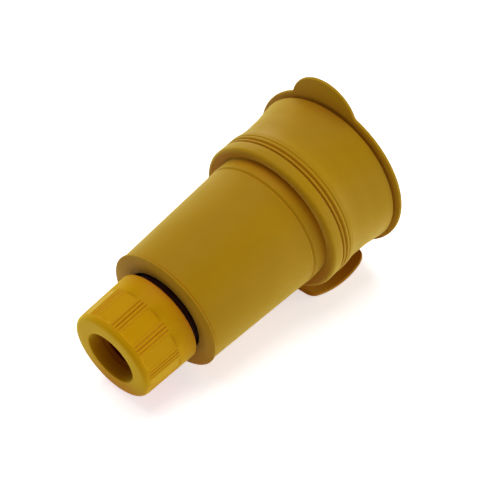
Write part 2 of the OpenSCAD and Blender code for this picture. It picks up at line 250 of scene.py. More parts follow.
class Moulding:
    """Collects closed shells in local millimetres and makes one object of them."""

    def __init__(self, name: str, smooth_under: float = 32.0) -> None:
        """Starts an empty piece.

        Args:
            name: Name of the object.
            smooth_under: Edges that turn by less than this, in degrees, are smooth.
        """
        self.name = name
        self.smooth_under = math.radians(smooth_under)
        self.bm = bmesh.new()

    def spin(
        self,
        outline: Sequence[Point],
        steps: int,
        about: Point = (0.0, 0.0),
        shape: Callable[[Vector], Vector] | None = None,
    ) -> Moulding:
        """Adds a full turn of a closed outline.

        Args:
            outline: Radius and z of each corner.
            steps: Steps of the turn.
            about: Place of the turn's axis, which is parallel to z.
            shape: Moves each vertex once the turn is made.

        Returns:
            The piece itself.
        """
        bm = bmesh.new()
        verts = [bm.verts.new((r, 0, z)) for r, z in outline]
        pairs = zip(verts, verts[1:] + verts[:1])
        edges = [bm.edges.new(pair) for pair in pairs if max(v.co.x for v in pair) > 0]
        bmesh.ops.spin(
            bm, geom=verts + edges, cent=(0, 0, 0), axis=(0, 0, 1), dvec=(0, 0, 0),
            angle=FULL_TURN, steps=steps, use_merge=True,
        )
        poles = [v for v in bm.verts if v.co.xy.length < SAME_MM]
        bmesh.ops.remove_doubles(bm, verts=poles, dist=WELD_MM)
        bmesh.ops.translate(bm, vec=(*about, 0), verts=bm.verts)
        return self._take(bm, shape)

    def bridge(self, rings: Sequence[Sequence[Vector]]) -> Moulding:
        """Adds a skin over rings and closes its two ends.

        Args:
            rings: Rings of equal length, in order.

        Returns:
            The piece itself.
        """
        bm = bmesh.new()
        loops = []
        for ring in rings:
            verts = [bm.verts.new(p) for p in ring]
            loops.append([bm.edges.new(pair) for pair in zip(verts, verts[1:] + verts[:1])])
        for near, far in zip(loops, loops[1:]):
            bmesh.ops.bridge_loops(bm, edges=near + far)
        bmesh.ops.contextual_create(bm, geom=loops[0])
        bmesh.ops.contextual_create(bm, geom=loops[-1])
        return self._take(bm)

    def plate(self, outline: Sequence[Point], low: float, high: float, round_r: float) -> Moulding:
        """Adds an outline in x and y, thickened along z, with both edges rounded.

        Args:
            outline: Corners of the plate.
            low: Lower z.
            high: Upper z.
            round_r: Radius of the edges.

        Returns:
            The piece itself.
        """
        bm = bmesh.new()
        base = bm.faces.new([bm.verts.new((x, y, low)) for x, y in outline])
        grown = bmesh.ops.extrude_face_region(bm, geom=[base])["geom"]
        moved = [g for g in grown if isinstance(g, bmesh.types.BMVert)]
        bmesh.ops.translate(bm, vec=(0, 0, high - low), verts=moved)
        bmesh.ops.recalc_face_normals(bm, faces=bm.faces)
        rims = [e for e in bm.edges if abs(e.verts[0].co.z - e.verts[1].co.z) < SAME_MM]
        self._bevel(bm, rims, round_r)
        return self._take(bm)

    def block(self, low: Sequence[float], high: Sequence[float], round_r: float) -> Moulding:
        """Adds a box between two corners, with rounded edges.

        Args:
            low: Lower corner.
            high: Upper corner.
            round_r: Radius of the edges.

        Returns:
            The piece itself.
        """
        bm = bmesh.new()
        size = Vector(high) - Vector(low)
        middle = (Vector(low) + Vector(high)) / 2
        bmesh.ops.create_cube(bm, size=1.0, matrix=Matrix.Translation(middle) @ Matrix.Diagonal((*size, 1)))
        self._bevel(bm, list(bm.edges), round_r)
        return self._take(bm)

    @staticmethod
    def _bevel(bm: bmesh.types.BMesh, edges: list[bmesh.types.BMEdge], radius: float) -> None:
        """Rounds edges to a radius."""
        bmesh.ops.bevel(
            bm, geom=edges, offset=radius, offset_type="OFFSET", affect="EDGES",
            segments=BEVEL_STEPS, profile=0.5, material=-1,
        )

    def _take(self, bm: bmesh.types.BMesh, shape: Callable[[Vector], Vector] | None = None) -> Moulding:
        """Copies another mesh into this one and frees it.

        Args:
            bm: The other mesh.
            shape: Moves each of its vertices first.

        Returns:
            The piece itself.
        """
        if shape is not None:
            for vert in bm.verts:
                vert.co = shape(vert.co)
        mesh = bpy.data.meshes.new("part")
        bm.to_mesh(mesh)
        bm.free()
        self.bm.from_mesh(mesh)
        bpy.data.meshes.remove(mesh)
        return self

    def make(self, finish: Finish, body: Body | None, *replaced: str) -> bpy.types.Object:
        """Lays the piece into the row frame, dresses it and puts it on its body.

        Args:
            finish: Finish of the piece.
            body: Body that it rides on, or none to leave it on no body.
            replaced: CAD nodes whose place it takes.

        Returns:
            The finished object.
        """
        bmesh.ops.recalc_face_normals(self.bm, faces=self.bm.faces)
        bmesh.ops.transform(self.bm, matrix=DATUM.lying(), verts=self.bm.verts)
        for face in self.bm.faces:
            face.smooth = True
        for edge in self.bm.edges:
            edge.smooth = len(edge.link_faces) == 2 and edge.calc_face_angle(0.0) < self.smooth_under
        mesh = bpy.data.meshes.new(self.name)
        self.bm.to_mesh(mesh)
        self.bm.free()
        obj = placed(self.name, mesh)
        mesh.materials.append(finish.material())
        if replaced:
            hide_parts(*replaced)
        if body is not None:
            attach(obj, body.value)
        return obj


class Wire:
    """A shader socket that takes plain arithmetic."""

    def __init__(self, graph: Graph, socket: bpy.types.NodeSocket) -> None:
        """Holds a socket of a graph."""
        self.graph = graph
        self.socket = socket

    def _math(self, operation: str, first: Value, second: Value) -> Wire:
        """Adds one Math node."""
        return self.graph.node("ShaderNodeMath", {"operation": operation}, {0: first, 1: second})

    def __rsub__(self, other: Value) -> Wire:
        """Another value less this one."""
        return self._math("SUBTRACT", other, self)

    def maximum(self, other: Value) -> Wire:
        """The larger of two values."""
        return self._math("MAXIMUM", self, other)

    def ramp(self, low: float, high: float, start: float = 0.0, end: float = 1.0) -> Wire:
        """Maps a span of this value to another span, held at both ends.

        Args:
            low: Value that gives start.
            high: Value that gives end.
            start: Result at and before low.
            end: Result at and past high.

        Returns:
            The mapped value.
        """
        sockets = {"Value": self, "From Min": low, "From Max": high, "To Min": start, "To Max": end}
        return self.graph.node("ShaderNodeMapRange", {}, sockets)


Value = Union[Wire, float, tuple[float, ...]]


class Graph:
    """A node tree whose nodes all come from one method."""

    def __init__(self, tree: bpy.types.NodeTree) -> None:
        """Holds a tree."""
        self.tree = tree

    def node(
        self, kind: str, settings: dict[str, object], sockets: dict[str | int, Value], output: str | int = 0
    ) -> Wire:
        """Adds a node.

        Args:
            kind: Type of the node.
            settings: Settings by name, which are set first.
            sockets: Values or wires by the input's name or number.
            output: Output that the wire is taken from.

        Returns:
            A wire from the output.
        """
        made = self.tree.nodes.new(kind)
        for name, value in settings.items():
            setattr(made, name, value)
        for name, value in sockets.items():
            self.feed(made.inputs[name], value)
        return Wire(self, made.outputs[output])

    def feed(self, socket: bpy.types.NodeSocket, value: Value) -> None:
        """Gives a socket its input.

        Args:
            socket: Input of a node.
            value: A wire to link, or a value to set.
        """
        if isinstance(value, Wire):
            self.tree.links.new(value.socket, socket)
        else:
            socket.default_value = value

    def fill(self, name: str, sockets: dict[str, Value]) -> None:
        """Feeds the inputs of a node that the tree came with."""
        for socket, value in sockets.items():
            self.feed(self.tree.nodes[name].inputs[socket], value)

    def blend(self, share: Value, first: Value, second: Value) -> Wire:
        """A colour between two, by a share of the second."""
        mixed = {"Factor": share, "A": first, "B": second}
        return self.node("ShaderNodeMix", {"data_type": "RGBA"}, mixed, "Result")

    def noise(self, size_mm: float, detail: float) -> Wire:
        """Adds noise in object coordinates.

        Args:
            size_mm: Size of its patches.
            detail: Layers of finer noise in it.

        Returns:
            The noise, about 0.5 on the average.
        """
        place = self.node("ShaderNodeTexCoord", {}, {}, "Object")
        sockets = {"Vector": place, "Scale": 1 / (size_mm * MM), "Detail": detail}
        return self.node("ShaderNodeTexNoise", {}, sockets, "Fac")

    def seen(self) -> Wire:
        """Tells what is seen from what only gives light.

        Returns:
            1 for rays from the camera, and for those that it sees mirrored or through glass.
        """
        camera, glossy, through = (
            self.node("ShaderNodeLightPath", {}, {}, name)
            for name in ("Is Camera Ray", "Is Glossy Ray", "Is Transmission Ray")
        )
        return camera.maximum(glossy).maximum(through)


@dataclass(frozen=True)
class Finish:
    """One procedural finish.

    Attributes:
        slot: Slot of the record that it belongs to.
        colour: Linear base colour.
        deep: Linear colour of the mottle's dark patches.
        roughness: Mean roughness.
        roughness_swing: Change of the roughness to each side of its mean.
        roughness_span: Values of the patches between which it changes.
        metallic: 1 for bare metal.
        specular: Strength of the plain reflection.
        mottle_mm: Size of the slow colour patches.
        mottle_span: Values of the patches between which the dark colour grows.
        mottle: Share of the dark colour at most.
        grain_mm: Size of the surface grain.
        grain: Strength of the surface grain, 0 to 1.
        painted_crevice_shade: Linear colour of painted shade deep in seams and corners, if it differs.
        painted_shade_reach_mm: Reach of the search for walls that stand close, which places the painted
            shade.
        painted_shade_rays: Rays of that search.
        painted_shade_span: Shares of closed rays at which the painted shade starts and is full.
        sheen: Weight of the pale bloom seen at a flat angle.
        sheen_roughness: Spread of that bloom.
        bloom: Linear colour of that bloom.
    """

    slot: Slot
    colour: Colour
    deep: Colour
    roughness: float
    roughness_swing: float = 0.05
    roughness_span: Point = (0.3, 0.7)
    metallic: float = 0.0
    specular: float = 0.5
    mottle_mm: float = 9.0
    mottle_span: Point = (0.35, 0.75)
    mottle: float = 0.35
    grain_mm: float = 0.35
    grain: float = 0.12
    painted_crevice_shade: Colour | None = None
    painted_shade_reach_mm: float = 14.0
    painted_shade_rays: int = 8
    painted_shade_span: Point = (0.05, 0.55)
    sheen: float = 0.0
    sheen_roughness: float = 0.5
    bloom: Colour = (1.0, 1.0, 1.0)

    def material(self) -> bpy.types.Material:
        """The finish as a material, made once.

        Returns:
            The material.
        """
        name = f"finish_{self.slot.value}"
        found = bpy.data.materials.get(name)
        if found is not None:
            return found
        mat = bpy.data.materials.new(name)
        mat.use_nodes = True
        graph = Graph(mat.node_tree)
        patches = graph.noise(self.mottle_mm, 3.0)
        grain = graph.noise(self.grain_mm, 2.0)
        shade = patches.ramp(*self.mottle_span, 0.0, self.mottle)
        colour = graph.blend(shade, (*self.colour, 1), (*self.deep, 1))
        # Painted shade: where walls stand close, the base colour turns to the crevice colour, darker and
        # redder.
        if self.painted_crevice_shade is not None:
            colour = graph.blend(self._painted_shade_share(graph), colour, (*self.painted_crevice_shade, 1))
        bump = {"Strength": self.grain, "Distance": self.grain_mm * MM, "Height": grain}
        smoothest, roughest = self.roughness - self.roughness_swing, self.roughness + self.roughness_swing
        graph.fill("Principled BSDF", {
            "Metallic": self.metallic,
            "Specular IOR Level": self.specular,
            "Sheen Weight": self.sheen,
            "Sheen Roughness": self.sheen_roughness,
            "Sheen Tint": (*self.bloom, 1),
            "Base Color": colour,
            "Roughness": patches.ramp(*self.roughness_span, smoothest, roughest),
            "Normal": graph.node("ShaderNodeBump", {}, bump, "Normal"),
        })
        return mat

    def _painted_shade_share(self, graph: Graph) -> Wire:
        """Share of painted shade: 1 where walls stand close, 0 in the open."""
        settings, sockets = {"samples": self.painted_shade_rays}, {"Distance": self.painted_shade_reach_mm * MM}
        room = graph.node("ShaderNodeAmbientOcclusion", settings, sockets, "AO")
        return (1 - room).ramp(*self.painted_shade_span)


FINISHES: dict[Slot, Finish] = {
    finish.slot: finish
    for finish in (
        # Rubber: its crevice colour is painted shade, darker and redder in seams and creases.
        Finish(
            Slot.YELLOW_RUBBER, (0.40, 0.207, 0.002), (0.35, 0.178, 0.002), 0.5, specular=0.05,
            painted_crevice_shade=(0.43, 0.15, 0.001), sheen=0.6, bloom=(1.0, 0.88, 0.13),
        ),
        # Nylon: its crevice colour is painted shade, deep red in the cable hole and other hollows.
        Finish(
            Slot.YELLOW_NYLON, (0.56, 0.275, 0.001), (0.52, 0.252, 0.001), 0.4, specular=0.02, grain=0.05,
            painted_crevice_shade=(0.42, 0.004, 0.006), sheen=0.9, bloom=(1.0, 0.84, 0.05),
        ),
        Finish(Slot.BLACK_NYLON, (0.035, 0.008, 0.004), (0.022, 0.006, 0.003), 0.6, specular=0.08),
        Finish(Slot.IVORY_NYLON, (0.70, 0.65, 0.52), (0.62, 0.56, 0.43), 0.45, grain=0.06),
        Finish(Slot.BRASS, (0.78, 0.52, 0.18), (0.62, 0.38, 0.12), 0.3, metallic=1.0),
        Finish(Slot.BRASS_SCREWS, (0.74, 0.49, 0.17), (0.58, 0.35, 0.11), 0.34, metallic=1.0),
        Finish(Slot.STEEL, (0.56, 0.56, 0.58), (0.42, 0.42, 0.44), 0.35, metallic=1.0),
        Finish(Slot.BLACK_RUBBER, (0.02, 0.018, 0.018), (0.012, 0.011, 0.011), 0.7),
        Finish(Slot.MAROON_RUBBER, (0.075, 0.012, 0.003), (0.05, 0.008, 0.002), 0.65),
    )
}


@dataclass(frozen=True)
class Groove:
    """A turned groove in the sleeve, in millimetres.

    Attributes:
        half_w: Half its width.
        deep: Depth of its floor.
        front_low: How far its front edge lies under the bead.
        rear_low: How far its rear edge lies under the bead.
        front_round: Radius of its front edge.
    """

    half_w: float
    deep: float
    front_low: float
    rear_low: float
    front_round: float = 0.3

    def corners(self, r: float, back: float) -> list[Corner]:
        """Corners of the groove.

        Args:
            r: Radius of the bead.
            back: Middle of the groove, behind the mouth's edge.

        Returns:
            The front edge, the floor and the rear edge, with their radii.
        """
        return [
            (r - self.front_low, self.half_w - back, self.front_round),
            (r - self.deep, -back, 0.12),
            (r - self.rear_low, -self.half_w - back, 0.3),
        ]


@dataclass(frozen=True)
class Sleeve:
    """The rubber boot: front cup, beads and grooves, seat, strip, cone and rear shoulder."""

    waist_r: float = 25.85
    waist_back: float = 13.3
    bead_r: float = 26.45
    bead_back: float = 19.4
    rear_hole_r: float = 13.9
    lip_h: float = 0.8
    lip_tip_w: float = 1.5
    lip_base_w: float = 1.9
    face_back: float = 10.0
    pocket_r: float = 22.0
    pocket_wall: float = 1.2
    strip_high: float = 0.25
    strip_line_deep: float = 0.6
    line_step: float = 1.45
    faint_line: Groove = Groove(0.4, 0.3, 0.02, 0.04, 0.25)
    strong_line: Groove = Groove(0.5, 0.8, 0.04, 0.12)
    edge: float = 0.35
    soft: float = 0.3
    tight: float = 0.2
    fine: float = 0.1
    steps: int = 256

    def build(self) -> list[bpy.types.Object]:
        """Builds the sleeve.

        Returns:
            The sleeve's moulding.
        """
        outline = rounded([*self._mouth(), *self._cup(), *self._seat_and_strip(), *self._cone_and_inside()])
        piece = Moulding("sleeve_moulding").spin(outline, self.steps)
        return [piece.make(FINISHES[Slot.YELLOW_RUBBER], Body.CONNECTOR, "rubber_sleeve")]

    @property
    def pocket_back(self) -> float:
        """Rear end of the pocket that holds the insulators."""
        return DATUM.band_front - self.pocket_wall

    def _mouth(self) -> list[Corner]:
        """The pocket behind the mouth, the bore and the sealing lip.

        Returns:
            Corners with their radii, from the inside to the mouth's edge.
        """
        bore, floor = DATUM.mouth_r, DATUM.fit - self.face_back
        return [
            (self.pocket_r, -self.pocket_back, self.soft), (self.pocket_r, floor), (bore, floor, self.tight),
            (bore, self.lip_h, self.edge), (bore + self.lip_tip_w, self.lip_h, self.edge),
            (bore + self.lip_base_w, 0, self.tight), (DATUM.front_r, 0, self.edge),
        ]

    def _cup(self) -> list[Corner]:
        """The flared cup, its bead and the two fine grooves.

        Returns:
            Corners with their radii, from the mouth's edge to the band.
        """
        d, front, bead = DATUM, DATUM.band_front, self.bead_r
        flare = d.front_r - self.waist_r
        return [
            (d.front_r - 0.36 * flare, -0.28 * self.waist_back, 12),
            (d.front_r - 0.79 * flare, -0.58 * self.waist_back, 24),
            (self.waist_r, -self.waist_back, 24), (self.waist_r, -self.waist_back - 3, 20),
            (bead - 0.15, 0.9 - self.bead_back, 1.5),
            *self.faint_line.corners(bead, front - 2 * self.line_step),
            *self.strong_line.corners(bead, front - self.line_step),
            (d.band_r - 0.1, 0.4 - front, self.soft), (d.band_r - d.band_seam_deep, d.fit - front),
        ]

    def _seat_and_strip(self) -> list[Corner]:
        """The seat under the band and the low strip behind it, which ends in a line.

        Returns:
            Corners with their radii, from the band to the cone.
        """
        d, strip_r = DATUM, DATUM.cone_front_r + self.strip_high
        return [
            (d.seat_r, d.fit - d.band_front), (d.seat_r, d.band_lean - d.band_back),
            (strip_r - 0.1, -d.band_back - 0.6), (strip_r, d.strip_line_w / 2 - d.strip_back, self.soft),
            (strip_r - self.strip_line_deep, -d.strip_back, 0.25),
            (d.cone_front_r, -d.cone_front_back, self.soft),
        ]

    def _cone_and_inside(self) -> list[Corner]:
        """The cone, a crease in front of the rear shoulder, the rear hole and the inner wall.

        Returns:
            Corners with their radii, from the strip's line round to the pocket.
        """
        d, rear = DATUM, DATUM.sleeve_len
        rear_in = rear - d.rear_wall
        return [
            (d.cone_rear_r, 1.0 - rear, self.fine), (d.cone_rear_r - 0.25, 0.82 - rear, 0.08),
            (d.shoulder_r, 0.6 - rear, self.fine), (d.shoulder_r, -rear, self.tight),
            (self.rear_hole_r, -rear, self.edge), (self.rear_hole_r, -rear_in, self.tight),
            (d.cone_r(rear_in) - d.wall, -rear_in), (d.cone_r(self.pocket_back) - d.wall, -self.pocket_back),
        ]


@dataclass(frozen=True)
class Strap:
    """The band round the sleeve with the bowed strap that carries the lid."""

    width: float = 32.6
    pinch: float = 1.3
    edge: float = 0.5
    rear_round: float = 2.0
    tongue_len: float = 5.0
    tongue_in: float = 2.6
    root_w: float = 19.0
    root_sink: float = 0.4
    root_reach: float = 4.0
    root_round: float = 0.6
    band_round: float = 1.15
    band_chamfer: float = 1.3
    band_steps: int = 256
    end_steps: int = 8
    bow_steps: int = 40

    @property
    def front(self) -> float:
        """Front end of the strap, behind the mouth's edge."""
        return DATUM.fold_half - DATUM.fold_z

    def build(self) -> list[bpy.types.Object]:
        """Builds the band, the strap and the root that joins them.

        Returns:
            The moulding of the three.
        """
        d, piece = DATUM, Moulding("strap_moulding")
        inner, seam = d.seat_r + d.fit, -d.band_front
        piece.spin(rounded([
            (inner, d.band_lean - d.band_back, 0.3), (inner, seam), (d.band_r - d.band_seam_deep, seam),
            (d.band_r - 0.1, seam - 0.3, 0.3), (d.band_r, -d.band_back, self.band_round),
            (d.band_r - self.band_chamfer, -d.band_back, 1.0),
        ]), self.band_steps)
        piece.bridge([self._section(back) for back in self._stations()])
        lean = math.asin((d.band_back - d.strap_low_back) / d.strap_bow_r)
        top = d.bow_c - d.strap_bow_r * math.cos(lean)
        half, inset = self.root_w / 2, d.run
        piece.block(
            (-half, top + self.root_sink, inset - d.band_back),
            (half, self.root_reach - d.band_r, seam - inset),
            self.root_round,
        )
        return [piece.make(FINISHES[Slot.YELLOW_RUBBER], Body.CONNECTOR, "closure_strap")]

    def _stations(self) -> list[float]:
        """Distances behind the mouth's edge at which the strap has a section, closer at its rounded ends.

        Returns:
            The distances, from the rear end to the front end.
        """
        ends = [1 - math.cos(math.pi / 2 * k / self.end_steps) for k in range(self.end_steps)]
        rear, front = DATUM.band_back - self.rear_round, self.front + self.tongue_len
        middle = [rear + (front - rear) * k / self.bow_steps for k in range(self.bow_steps + 1)]
        back_end = [DATUM.band_back - self.rear_round * e for e in ends]
        return back_end + middle + [self.front + self.tongue_len * e for e in reversed(ends)]

    def _half_width(self, back: float) -> float:
        """Half the strap's width, with its rounded rear corners and its tongue at the fold.

        Args:
            back: Distance behind the mouth's edge.

        Returns:
            The half width in millimetres.
        """
        reach = (DATUM.band_back - self.front) / 2
        barrel_r = (reach**2 + self.pinch**2) / (2 * self.pinch)
        off = back - (DATUM.band_back + self.front) / 2
        half = math.sqrt(barrel_r**2 - off**2) - (barrel_r - self.width / 2)
        rear = clamp((back - DATUM.band_back + self.rear_round) / self.rear_round)
        front = clamp((self.front + self.tongue_len - back) / self.tongue_len)
        half -= self.rear_round * (1 - math.sqrt(1 - rear**2))
        return half - self.tongue_in * (1 - math.sqrt(1 - front**2))

    def _section(self, back: float) -> list[Vector]:
        """The strap's section, square to the bow.

        Args:
            back: Distance behind the mouth's edge of the section's outer side.

        Returns:
            The section's corners.
        """
        d, half, edge = DATUM, self._half_width(back), self.edge
        lean = math.asin((back - d.strap_low_back) / d.strap_bow_r)
        section = rounded([
            (-half, 0, edge), (half, 0, edge), (half, d.strap_t, edge), (-half, d.strap_t, edge),
        ], BEVEL_STEPS)
        return [
            Vector((
                x,
                d.bow_c - (d.strap_bow_r - up) * math.cos(lean),
                -d.strap_low_back - (d.strap_bow_r - up) * math.sin(lean),
            ))
            for x, up in section
        ]


@dataclass(frozen=True)
class Lid:
    """The flip lid and the thin web that joins it to the strap."""

    rim_r: float = 28.8
    rim_back: float = 1.1
    rim_t: float = 1.3
    rim_round: float = 0.45
    tab_r: float = 12.7
    tab_c: float = 22.9
    tab_fillet: float = 2.0
    crown: float = 2.2
    crown_step: float = 0.6
    crown_rings: int = 24
    skirt_w: float = 2.3
    skirt_in: float = 1.7
    ear_w: float = 26.4
    ear_round: float = 3.5
    foot_in: float = 3.0
    foot_t: float = 1.4
    foot_round: float = 0.12
    web_in: float = 3.2
    web_low: float = 0.06
    web_t: float = 0.5
    web_half: float = 0.45
    web_steps: int = 8
    bend_half: float = 0.3
    steps: int = 224

    @property
    def rim_front(self) -> float:
        """Front face of the rim, in front of the mouth's edge."""
        return self.rim_back + self.rim_t

    def build(self) -> list[bpy.types.Object]:
        """Builds the lid and its web."""
        return [self.lid(), self.web()]

    def outline(self) -> list[Point]:
        """Outline of the rim, the thumb tab with its fillets, and the hinge ear.

        Returns:
            The outline in x and y.
        """
        reach, span = self.rim_r + self.tab_fillet, self.tab_r + self.tab_fillet
        turn = math.acos((reach**2 + self.tab_c**2 - span**2) / (2 * reach * self.tab_c))
        fillet = (reach * math.sin(turn), reach * math.cos(turn))
        tab_end = math.degrees(math.atan2(fillet[1] - self.tab_c, fillet[0]))
        rim_start = math.degrees(math.atan2(fillet[1], fillet[0]))
        ear = self.ear_w / 2
        right = arc((0, self.tab_c), self.tab_r, 90, tab_end, 20)
        right += arc(fillet, self.tab_fillet, tab_end + 180, rim_start + 180, 6)[1:]
        right += arc((0, 0), self.rim_r, rim_start, -math.degrees(math.acos(ear / self.rim_r)), 48)[1:]
        right += arc((ear - self.ear_round, DATUM.fold_y + self.ear_round), self.ear_round, 0, -90, 8)
        left = [(-x, y) for x, y in reversed(right)]
        return right + left[:-1]

    def lid(self) -> bpy.types.Object:
        """The lid: turned crown and skirt, plate with tab and ear, and the foot at the fold.

        Returns:
            The finished object.
        """
        d, piece = DATUM, Moulding("lid_moulding")
        middle = (self.rim_back + self.rim_front) / 2
        piece.spin(self._crown(middle), self.steps)
        inner, outer = d.mouth_r + self.skirt_w, d.front_r - self.skirt_in
        piece.spin(rounded([
            (inner, d.soft_gap, 0.2), (outer, d.soft_gap, 0.15), (outer, middle), (inner, middle),
        ]), self.steps)
        piece.plate(self.outline(), self.rim_back, self.rim_front, self.rim_round)
        foot = self.ear_w / 2 - self.foot_in
        piece.block(
            (-foot, d.fold_y + 0.02, d.fold_z + d.fold_half), (foot, d.fold_y + self.foot_t, middle),
            self.foot_round,
        )
        return piece.make(FINISHES[Slot.YELLOW_RUBBER], Body.LID, "flip_lid")

    def _crown(self, middle: float) -> list[Point]:
        """Half section of the crowned disc.

        Args:
            middle: Height of its flat rear side, inside the plate.

        Returns:
            Radius and z of each corner.
        """
        edge = self.rim_r - self.crown_step
        ball_r = (self.rim_r**2 + self.crown**2) / (2 * self.crown)
        ball_c = self.rim_front + self.crown - ball_r
        radii = [edge * (1 - k / self.crown_rings) for k in range(self.crown_rings + 1)]
        return [(0.0, middle), (edge, middle)] + [(r, ball_c + math.sqrt(ball_r**2 - r**2)) for r in radii]

    def web(self) -> bpy.types.Object:
        """The thin web at the fold.

        Returns:
            The finished object.
        """
        d, half = DATUM, self.ear_w / 2 - self.web_in
        section = ((-half, self.web_low), (half, self.web_low), (half, self.web_t), (-half, self.web_t))
        share = [2 * k / self.web_steps - 1 for k in range(self.web_steps + 1)]
        rings = [[Vector((x, d.fold_y + y, d.fold_z + self.web_half * s)) for x, y in section] for s in share]
        obj = Moulding("living_hinge").bridge(rings).make(FINISHES[Slot.YELLOW_RUBBER], None)
        ends = (-self.bend_half, self.bend_half)
        start, end = (d.lying() @ Vector((0, d.fold_y, d.fold_z + off)) for off in ends)
        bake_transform(obj)
        return obj


@dataclass(frozen=True)
class Gland:
    """Places that the gland's nut and housing share, in millimetres."""

    neck_r: float = 12.6
    nut_gap: float = 2.5
    nut_len: float = 20.1
    nut_end: float = 4.4
    nut_travel: float = 2.2
    travel_spare: float = 0.3
    ring_t: float = 1.5

    @property
    def nut_front(self) -> float:
        """Front face of the nut, behind the mouth's edge."""
        return DATUM.sleeve_len + self.nut_gap

    @property
    def nut_face(self) -> float:
        """Rear face of the nut, behind the mouth's edge."""
        return self.nut_front + self.nut_len

    @property
    def neck_back(self) -> float:
        """Rear end of the neck, behind the mouth's edge."""
        return self.nut_face - self.nut_end - self.ring_t - self.nut_travel - self.travel_spare - DATUM.fit


@dataclass(frozen=True)
class GlandNut(Gland):
    """The nut with flat panels between groups of fine ribs."""

    nut_r: float = 15.45
    nut_taper: float = 0.65
    end_round: float = 1.6
    cable_hole_r: float = 8.9
    panels: int = 10
    panel_angle: float = 18.4
    panel_deep: float = 0.14
    panel_start: float = 6.4
    panel_end: float = 1.7
    panel_ramp: float = 0.35
    ribs: int = 4
    rib_deep: float = 0.3
    rib_crest: float = 0.6
    rib_phase: float = 104.5
    wall_rings: int = 12
    steps: int = 720
    smooth_under: float = 40.0

    def build(self) -> list[bpy.types.Object]:
        """Builds the nut.

        Returns:
            The nut's moulding.
        """
        front, face = self.nut_front, self.nut_face
        bore, face_r = self.neck_r + DATUM.run, self.nut_r - self.nut_taper
        # The first two corners only give the rounding its directions, and are dropped.
        ends = rounded([
            (self.nut_r, -front - 2), (face_r, -face + 4), (face_r, -face, self.end_round),
            (self.cable_hole_r, -face, 0.4), (self.cable_hole_r, self.nut_end - face, 0.1),
            (bore, self.nut_end - face, 0.2), (bore, -front, 0.3), (self.nut_r, -front, 0.35),
        ], 8)[2:]
        wall = [(self._plain_r(back), -back) for back in self._stations()]
        piece = Moulding("nut_moulding", self.smooth_under).spin(wall + ends, self.steps, shape=self._carve)
        return [piece.make(FINISHES[Slot.YELLOW_NYLON], Body.NUT, "gland_nut")]

    @property
    def panel_span(self) -> Point:
        """Front and rear end of the panels, behind the mouth's edge."""
        return self.nut_front + self.panel_start, self.nut_face - self.panel_end

    def _stations(self) -> list[float]:
        """Distances behind the mouth's edge at which the wall has a ring, closer at the panels' ends.

        Returns:
            The distances, from the front to the rear.
        """
        start, end = self.panel_span
        first, span = start + self.panel_ramp, end - start - 2 * self.panel_ramp
        flat = [first + span * k / self.wall_rings for k in range(self.wall_rings + 1)]
        return [self.nut_front + 0.8, start - 0.02, start + 0.12, *flat, end - 0.12, end + 0.02]

    def _plain_r(self, back: float) -> float:
        """Radius of the nut's plain body at a distance behind the mouth's edge."""
        return self.nut_r - self.nut_taper * (back - self.nut_front) / self.nut_len

    def _cut(self, angle: float, back: float) -> float:
        """Depth of panels and rib valleys under the nut's plain body.

        Args:
            angle: Angle round the axis in degrees.
            back: Distance behind the mouth's edge.

        Returns:
            The depth in millimetres.
        """
        start, end = self.panel_span
        inside = clamp(min(back - start, end - back) / self.panel_ramp)
        pitch = 360 / self.panels
        off = (angle - self.rib_phase) % pitch - pitch / 2
        past = abs(off) - self.panel_angle / 2
        if past < 0:
            chord = self.nut_r * math.cos(math.radians(self.panel_angle / 2)) - self.panel_deep
            return inside * (self.nut_r - chord / math.cos(math.radians(off)))
        group = pitch - self.panel_angle
        along = past if off > 0 else group - past
        height = abs(math.sin(math.pi * along * self.ribs / group)) ** self.rib_crest
        return inside * self.rib_deep * (1 - height)

    def _carve(self, p: Vector) -> Vector:
        """Moves a vertex of the turned nut down into its panel or valley.

        Args:
            p: The vertex as turned.

        Returns:
            Its new place.
        """
        r = p.xy.length
        if r < self._plain_r(-p.z) - 0.05:
            return p
        share = (r - self._cut(math.degrees(math.atan2(p.y, p.x)), -p.z)) / r
        return Vector((p.x * share, p.y * share, p.z))


